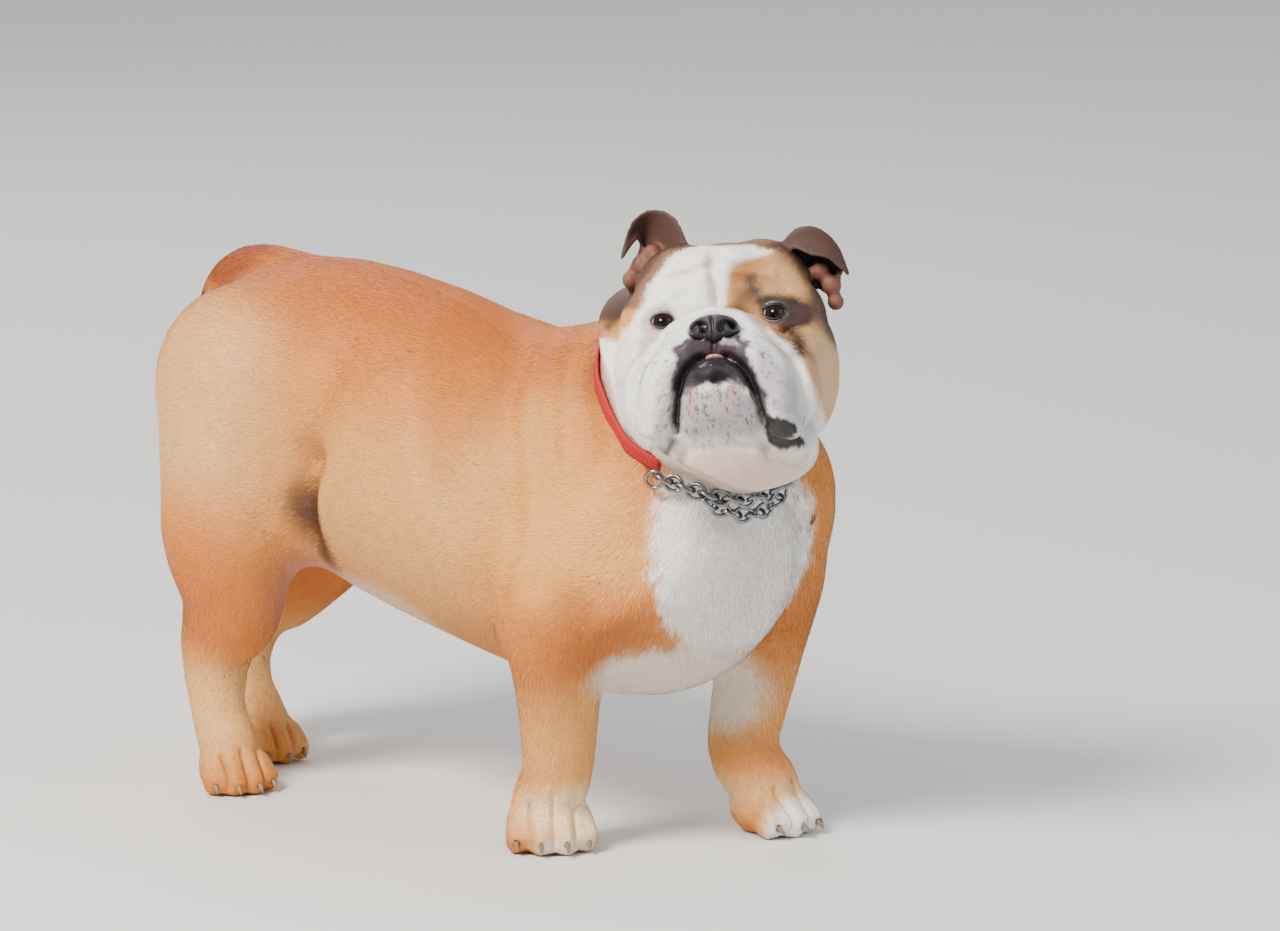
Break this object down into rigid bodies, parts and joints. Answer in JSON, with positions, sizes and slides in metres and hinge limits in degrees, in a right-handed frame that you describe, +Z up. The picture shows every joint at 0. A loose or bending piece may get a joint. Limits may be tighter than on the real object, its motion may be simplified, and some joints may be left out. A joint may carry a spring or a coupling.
{
  "type": "english bulldog",
  "caption": "Life-size figure of a stocky short-muzzled dog that stands with its head raised and turned to its right, in a webbing collar closed by a steel chain.",
  "frame": {"origin": "on the floor, under the middle of the whole dog", "axes": "+Z up; the dog's body faces -Y, its left side is +X, and its head is turned towards -X"},
  "size_m": [0.2764, 0.647, 0.4546],
  "materials": {
    "torso": "short fawn coat",
    "neck": "short fawn and white coat",
    "tail": "short rusty coat with a black end",
    "legs": "short fawn coat",
    "head": "short white, tan and brindled coat",
    "ears": "thin skin with very short dark coat",
    "eyes": "wet dark brown eyeball",
    "nose": "damp black pebbled nose leather",
    "tongue": "wet pink",
    "claws": "horn",
    "collar_band": "ribbed red nylon webbing",
    "collar_chain": "chromed steel wire links"
  },
  "bodies": {
    "root": {"claw_front_left_1": "claws", "claw_front_left_2": "claws", "claw_front_left_3": "claws", "claw_front_left_4": "claws", "claw_front_right_1": "claws", "claw_front_right_2": "claws", "claw_front_right_3": "claws", "claw_front_right_4": "claws", "claw_hind_left_1": "claws", "claw_hind_left_2": "claws", "claw_hind_left_3": "claws", "claw_hind_left_4": "claws", "claw_hind_right_1": "claws", "claw_hind_right_2": "claws", "claw_hind_right_3": "claws", "claw_hind_right_4": "claws", "collar_band": "collar_band", "collar_chain": "collar_chain", "ear_left": "ears", "ear_right": "ears", "eye_left": "eyes", "eye_right": "eyes", "head": "head", "leg_front_left": "legs", "leg_front_right": "legs", "leg_hind_left": "legs", "leg_hind_right": "legs", "neck": "neck", "nose": "nose", "tail": "tail", "tongue": "tongue", "torso": "torso"}
  },
  "joints": []
}
